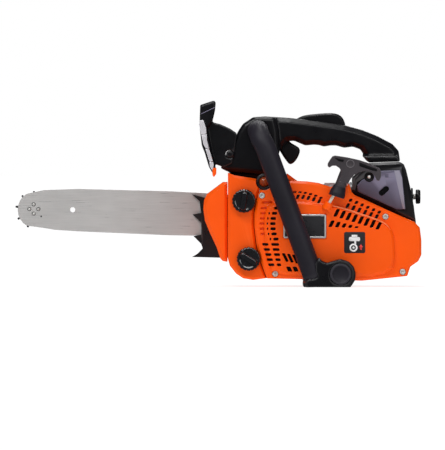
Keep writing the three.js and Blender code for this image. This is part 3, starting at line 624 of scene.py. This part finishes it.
def pull_handle():
    """The T-shaped grip with its round stem, two hollows in its face painted as near-black patches (painted
    shade), and the rubber collar.
    """
    head = [
        (141, 158), (140.9, 154.5), (143.2, 152.6), (146.8, 155.2), (151.8, 155),
        (156.3, 151.8), (158.6, 146.8),
        (157.8, 141.2), (154.5, 134.7), (166.7, 132), (170.5, 138.6), (175, 143.8),
        (181, 147), (188.5, 148.6),
        (196, 147.3), (200.8, 142.5), (203.6, 136.4), (206.8, 135.9), (208.9, 140.5),
        (209.3, 147.4), (207, 152),
        (193.2, 158.6), (181.4, 162.5), (165.9, 165.9), (150.3, 168.3), (147.2, 167.4), (144.6, 164),
    ]
    shape = slab("pull_head", head, -98.5, -84)
    softened(piece("pull_head", shape, "pull", LOOKS["brown"], "brown", "starter_handle"), 0.5, 14)
    stem = [at(155, PULL_Y, 124), at(158.5, PULL_Y, 133), at(162, PULL_Y, 142), at(166, PULL_Y, 152)]
    piece("pull_stem", tube("pull_stem", stem, 7.2), "pull", LOOKS["brown"], "brown")
    flare = lambda t: 0.93 if t == 0 else (1.0 if t < 0.35 else 1.0 - 0.22 * (t - 0.35) / 0.65)
    heights = ((152, 115.6), (153.4, 120), (154.8, 124.4), (156.4, 129))
    collar = [at(x, PULL_Y, z) for x, z in heights]
    piece("pull_collar", tube("pull_collar", collar, 10.3, 64, 8, flare), "pull", LOOKS["grip"], "brown")
    # The hollows are thin near-black patches over the face: painted shade, not cut recesses.
    hollows = (
        ("pull_hollow_shade_front", [(149.4, 165.4), (162, 162.6), (160.4, 160), (155, 161)]),
        ("pull_hollow_shade_rear", [(181.2, 159.4), (203.6, 151), (204, 148.4), (198, 149), (181.6, 154.6)]),
    )
    for name, outline in hollows:
        piece(name, slab(name, outline, -98.9, -97.5, 0.15, 2), "pull", HOLLOW_SHADE, "brown")
    rim = [(0, -98.6), (3.6, -98.6), (4.1, -98.9), (4.9, -98.9), (5.3, -98.4), (5.3, -96), (0, -96)]
    piece("pull_boss", lathe("pull_boss", 169.8, 157.7, rim, 64), "pull", LOOKS["brown"], "brown")


# ---- hand guard -----------------------------------------------------------------------------


def guard_trim():
    """Silver-grey strips along both side borders of the guard's front, painted as the highlights its ribs
    catch; a lighter grey crease line, also a painted highlight; and its coloured lower tip.
    """
    strips = [
        [(-22.1, 213.5), (-18, 213.8), (-14.7, 203.6), (-13.9, 196.5), (-20.6, 195), (-23.6, 208)],
        [(-20.5, 194.4), (-13.8, 195.9), (-13.5, 188.3), (-10.5, 176.6), (-15.2, 178), (-17.8, 182)],
        [(-15.4, 177.3), (-10.3, 175.8), (-9.2, 172), (-5.6, 160.5), (-10.4, 161), (-11.9, 165.5)],
        [(-10.3, 160.2), (-5.4, 159.6), (-4.6, 156.5), (-5.2, 151.6), (-7, 149.2), (-9.4, 154.2)],
    ]
    for side, low, high in (("left", -58.5, -54.5), ("right", 42.5, 46.5)):
        for i, outline in enumerate(strips):
            name = f"guard_trim_{side}_{i + 1}"
            piece(name, slab(name, outline, low, high, 0.5, 3), "guard", RIB_HIGHLIGHT, "black")
    # The crease is a thin lighter grey strip: a painted highlight along the paddle's bent lip.
    crease = [(-20.6, 221), (-3.4, 229.4), (-3.4, 230.4), (-20.6, 222)]
    piece("guard_crease_highlight", slab("guard_crease_highlight", crease, -58.2, -56, 0.3, 2), "guard", LOOKS["grey"], "grey")
    tip = [(-6.4, 149), (-6.2, 143), (-4.4, 140.4), (-1.4, 144.5), (-1.2, 152), (-4.8, 152.6)]
    piece("guard_tip", slab("guard_tip", tip, -58.3, 46.3, 0.3, 2), "guard", LOOKS["orange"], "orange")


# ---- starter housing and rear panel ---------------------------------------------------------

PANEL_Y = -54  # the rear panel's face
FLYWHEEL = (113, 80)  # the front vents' rows run around this centre
DOME_EDGE = [
    (122, 107.6), (135, 106.1), (147, 104), (159, 101), (171, 97.4), (182, 93.4), (195, 89.4),
    (208, 84.4),
    (214, 81.2), (218.2, 77.6), (221, 73.2),
]


def dome_ridge():
    """A slim rounded bead along the upper rim of the raised centre field, in a lighter orange that paints the
    highlight along the rim.
    """
    path = [at(x, -85.7, z) for x, z in DOME_EDGE]
    fade = lambda t: 0.12 + 0.88 * math.sin(math.pi * min(max(t, 0.0), 1.0)) ** 0.7
    piece("dome_ridge", tube("dome_ridge", path, 1.2, 16, 6, fade), "saw", RIDGE_HIGHLIGHT, "orange")


def slat_groove_shades():
    """Darker orange floors in the shallow grooves ahead of the front vents: painted shade in the recesses."""
    grooves = [(57.3, 70.4, 107.2, 109.4)]
    for row in range(6):
        z = 101 - row * 6.6
        start = FLYWHEEL[0] - math.sqrt(46 ** 2 - (z - FLYWHEEL[1]) ** 2)
        right = start if row == 0 else start - 5
        grooves.append((min(start - 13.5, 55) + 0.6, right - 0.6, z - 1.1, z + 1.1))
    for i, (x0, x1, z0, z1) in enumerate(grooves):
        name = f"slat_groove_shade_{i + 1}"
        outline = [(x0, z0), (x1, z0), (x1, z1), (x0, z1)]
        piece(name, slab(name, outline, -79.1, -78.6), "saw", GROOVE_SHADE, "orange")


def panel_chamfer():
    """A lighter flat band along the panel's rear border, painted as the highlight on its slanting chamfer."""
    outline = [(226.6, 149), (233.2, 149), (236.4, 140), (240.4, 100), (237.6, 100)]
    band = slab("panel_chamfer", outline, PANEL_Y - 0.3, PANEL_Y + 0.1, 0.15, 2)
    piece("panel_chamfer", band, "saw", PANEL_CHAMFER_HIGHLIGHT, "grey")


def housing_edge_shadow():
    """The rear housing's lower edge, closing down onto the starter housing: a near-black strip set behind the
    gap, partly the housing's black edge and partly painted shadow in the gap.
    """
    outline = [(173, 123.4), (177, 120.6), (197, 111.4), (197, 104.5), (182, 111.4), (174, 113)]
    piece("housing_edge_shadow", slab("housing_edge_shadow", outline, -19.4, -16.4, 0.4, 2), "saw", HOLLOW_SHADE, "black")


def panel_screw():
    """A near-black seat painted as the shade of a recess, with a small bright screw at the panel's upper front
    corner.
    """
    x, z = 194.5, 140.7
    rim = [(0, -0.4), (4.6, -0.4), (5.2, -1.1), (5.8, -1.1), (6.3, -0.4), (6.3, 0.2), (0, 0.2)]
    cup = [(radius, PANEL_Y + rise) for radius, rise in rim]
    piece("panel_screw_recess_shade", lathe("panel_screw_recess_shade", x, z, cup, 48), "saw", HOLLOW_SHADE, "black")
    dome = [(0, -1.6), (1.3, -1.4), (2.1, -0.7), (2.1, -0.2), (0, -0.2)]
    head = [(radius, PANEL_Y + rise) for radius, rise in dome]
    piece("panel_screw", lathe("panel_screw", x, z, head, 36), "saw", ZINC, "steel")


# ---- bar ------------------------------------------------------------------------------------

BAR_FACE = 43  # the guide bar's face towards the starter side
BAR_THICK = 4.3


def bar_details():
    """Four ringed rivets around the nose wheel's hub and a small grease hole, on both faces; the grease hole is
    a near-black disc, painted shade.
    """
    centres = [(-237.3, 105), (-243, 98.9), (-231.3, 98.8), (-237.3, 93)]
    ring = [(0, 0.05), (1.7, 0.05), (2.0, 0.35), (2.4, 0.35), (2.8, -0.2), (0, -0.2)]
    dome = [(0, 0.45), (1.1, 0.35), (1.8, 0.05), (0, 0.05)]
    spot = [(0, 0.06), (1.0, 0.06), (1.2, -0.2), (0, -0.2)]
    for side, face, way in (("left", BAR_FACE, -1), ("right", BAR_FACE + BAR_THICK, 1)):
        raised = lambda profile: [(radius, face + rise * way) for radius, rise in profile]
        for i, (x, z) in enumerate(centres):
            name = f"nose_rivet_{side}_{i + 1}"
            piece(name, lathe(name, x, z, raised(ring), 32), "bar", RIVET_RING, "steel")
            name = f"nose_rivet_face_{side}_{i + 1}"
            piece(name, lathe(name, x, z, raised(dome), 24), "bar", ZINC, "steel")
        name = "grease_hole_" + side
        piece(name, lathe(name, -227.6, 89.4, raised(spot), 20), "bar", HOLLOW_SHADE, "steel")


# ---- plate, label and vents -----------------------------------------------------------------

PLATE = (84.5, 139, 62.5, 93)
LABEL = (162, 189, 43.5, 70.5)


def name_plate():
    """A blank black plate in a bright frame."""
    x0, x1, z0, z1 = PLATE
    outer = round_box(x0, x1, z0, z1, 2)
    inner = round_box(x0 + 2.2, x1 - 2.2, z0 + 2.2, z1 - 2.2, 1)
    low, high = -87.6, -85
    verts = [at(x, y, z) for y in (low, high) for x, z in outer + inner]
    n = len(outer)
    faces = []
    for i in range(n):
        j = (i + 1) % n
        faces.append([i, j, n + j, n + i])
        faces.append([2 * n + i, 3 * n + i, 3 * n + j, 2 * n + j])
        faces.append([i, 2 * n + i, 2 * n + j, j])
        faces.append([n + i, n + j, 3 * n + j, 3 * n + i])
    rim = piece("plate_rim", mesh_of("plate_rim", verts, faces), "saw", CHROME, "dark", "name_plate")
    bevel = rim.modifiers.new("bevel", "BEVEL")
    bevel.width = 0.5 * MM
    bevel.segments = 3
    field = slab("plate_field", round_box(x0 + 2, x1 - 2, z0 + 2, z1 - 2, 1), -86.8, -85, 0.2)
    piece("plate_field", field, "saw", LABEL_BLACK, "dark")


def info_label():
    """A round-cornered label with plain icons: a carburettor-like box over a ring, and an arrow."""
    x0, x1, z0, z1 = LABEL
    face = -86.25
    front = face - 0.08
    back = face + 0.1
    ground = slab("label", round_box(x0, x1, z0, z1, 2.2), face, -85.9, 0.1, 2)
    piece("label", ground, "saw", LABEL_BLACK, "dark")
    ink = [
        ("label_icon_top", round_box(x0 + 9.5, x0 + 17, z1 - 6.8, z1 - 3.6, 0.6)),
        ("label_icon_body", round_box(x0 + 6, x0 + 20.5, z1 - 11.8, z1 - 6.4, 2)),
        ("label_icon_stem", round_box(x0 + 13, x0 + 15.4, z1 - 15.6, z1 - 11.6, 0.3)),
    ]
    for name, outline in ink:
        piece(name, slab(name, outline, front, back), "saw", LABEL_WHITE, "dark")
    section = [(3.1, front), (5.2, front), (5.2, back), (3.1, back), (3.1, front)]
    ring = lathe("label_icon_ring", x0 + 12, z0 + 7, section, 48)
    piece("label_icon_ring", ring, "saw", LABEL_WHITE, "dark")
    hub = slab("label_icon_hub", ellipse(x0 + 12, z0 + 7, 1.5, 1.5), front, back)
    piece("label_icon_hub", hub, "saw", LABEL_WHITE, "dark")
    shaft = [(-1.3, 0), (1.3, 0), (1.3, 3.4), (2.8, 3.4), (0, 7), (-2.8, 3.4), (-1.3, 3.4)]
    arrow = [(x1 - 5.5 + x, z0 + 4.2 + z) for x, z in shaft]
    piece("label_arrow", slab("label_arrow", arrow, front, back), "saw", LABEL_RED, "dark")


def air_guide():
    """The black inner guide that shows through the vents."""
    outline = [
        (62, 120), (100, 130.5), (134, 128), (145, 123.5), (160, 126.5), (167, 127),
        (169, 119), (176, 112.5),
        (212, 96), (246, 79), (255, 66), (256, 42), (248, 30), (238, 18), (186, 12),
        (108, 14), (70, 15), (60, 40),
        (54, 66), (53, 92),
    ]
    piece("air_guide", slab("air_guide", outline, -76.9, -76.2, 0.2), "saw", LOOKS["black"], "black")


def seam_seal():
    """The black seal behind the joint between the tank and the starter housing."""
    middle = [(59, 128), (52, 112), (47, 94), (47, 77), (50, 52), (56, 30), (63, 11)]
    outline = [(x - 2.2, z) for x, z in middle] + [(x + 2.2, z) for x, z in middle[::-1]]
    piece("seam_seal", slab("seam_seal", outline, -36, -34, 0.1), "saw", LOOKS["black"], "black")


# ---- floor, light and camera ----------------------------------------------------------------


def stage():
    """A wide pale floor, bright enough to run into the white background."""
    sides = 64
    reach = 40.0
    angles = [2 * math.pi * i / sides for i in range(sides)]
    ring = [(reach * math.cos(a), reach * math.sin(a), -0.0002) for a in angles]
    ground = bpy.data.objects.new("ground", mesh_of("ground", ring, [list(range(sides))]))
    scene.collection.objects.link(ground)
    mat, tree, shader = nodes_of("paper")
    tone = ramp(tree, noise(tree, 2), (0.4, 0.4, 0.4), (0.45, 0.45, 0.45))
    tree.links.new(tone, shader.inputs["Base Color"])
    shader.inputs["Roughness"].default_value = 0.95
    shader.inputs["Specular IOR Level"].default_value = 0.1
    shader.inputs["Emission Color"].default_value = (1, 1, 1, 1)
    place = tree.nodes.new("ShaderNodeTexCoord")
    distance = tree.nodes.new("ShaderNodeVectorMath")
    distance.operation = "LENGTH"
    tree.links.new(place.outputs["Object"], distance.inputs[0])
    spread = tree.nodes.new("ShaderNodeMapRange")
    for socket, value in (("From Min", 0.5), ("From Max", 1.3), ("To Min", 0.8), ("To Max", 1.0)):
        spread.inputs[socket].default_value = value
    tree.links.new(distance.outputs["Value"], spread.inputs["Value"])
    tree.links.new(spread.outputs["Result"], shader.inputs["Emission Strength"])
    ground.visible_glossy = False
    ground.data.materials.append(mat)


def light(name, place, target, size, power):
    """A rectangular soft light, aimed at a point."""
    data = bpy.data.lights.new(name, "AREA")
    data.shape = "RECTANGLE"
    data.size, data.size_y = size
    data.energy = power
    obj = bpy.data.objects.new(name, data)
    obj.location = place
    obj.rotation_euler = (Vector(target) - Vector(place)).to_track_quat("-Z", "Y").to_euler()
    scene.collection.objects.link(obj)


def studio():
    """Five soft lights in a dim room; the camera alone sees the white backdrop."""
    world = bpy.data.worlds.new("studio")
    world.use_nodes = True
    tree = world.node_tree
    room = tree.nodes["Background"]
    room.inputs["Color"].default_value = (1, 1, 1, 1)
    room.inputs["Strength"].default_value = 0.1
    backdrop = tree.nodes.new("ShaderNodeBackground")
    backdrop.inputs["Color"].default_value = (1, 1, 1, 1)
    backdrop.inputs["Strength"].default_value = 1.0
    path = tree.nodes.new("ShaderNodeLightPath")
    choose = tree.nodes.new("ShaderNodeMixShader")
    tree.links.new(path.outputs["Is Camera Ray"], choose.inputs["Fac"])
    tree.links.new(room.outputs["Background"], choose.inputs[1])
    tree.links.new(backdrop.outputs["Background"], choose.inputs[2])
    tree.links.new(choose.outputs["Shader"], tree.nodes["World Output"].inputs["Surface"])
    scene.world = world
    middle = (0, 0, 0.12)
    light("key", (-0.7, -1.1, 1.5), middle, (0.6, 0.35), 11)
    light("front", (0.3, -1.9, 1.5), middle, (2.0, 0.3), 12)
    light("fill", (1.3, -1.5, 0.7), middle, (0.25, 1.2), 3)
    light("top", (0.1, 0.0, 1.9), middle, (1.6, 0.3), 11)
    light("back", (0.2, 1.9, 1.5), middle, (2.0, 0.3), 10)
    scene.view_settings.view_transform = "Standard"


def camera():
    """A long lens that looks along +Y, level with the saw."""
    distance = 12.0
    half_width = 0.28925
    sensor = 36
    data = bpy.data.cameras.new("camera")
    data.sensor_width = sensor
    data.lens = sensor * distance / (2 * half_width)
    data.clip_end = 100
    obj = bpy.data.objects.new("camera", data)
    tilt = math.radians(0.5)
    target = Vector((6.6 * MM, 0, 78.8 * MM))
    obj.location = target + Vector((0, -distance * math.cos(tilt), distance * math.sin(tilt)))
    obj.rotation_euler = (math.pi / 2 - tilt, 0, 0)
    scene.collection.objects.link(obj)
    scene.camera = obj


front_handle()
rope()
pull_handle()
guard_trim()
dome_ridge()
slat_groove_shades()
panel_chamfer()
housing_edge_shadow()
panel_screw()
caps()
primer()
foot_plug()
knob()
bar_details()
name_plate()
info_label()
air_guide()
seam_seal()
stage()
studio()
camera()
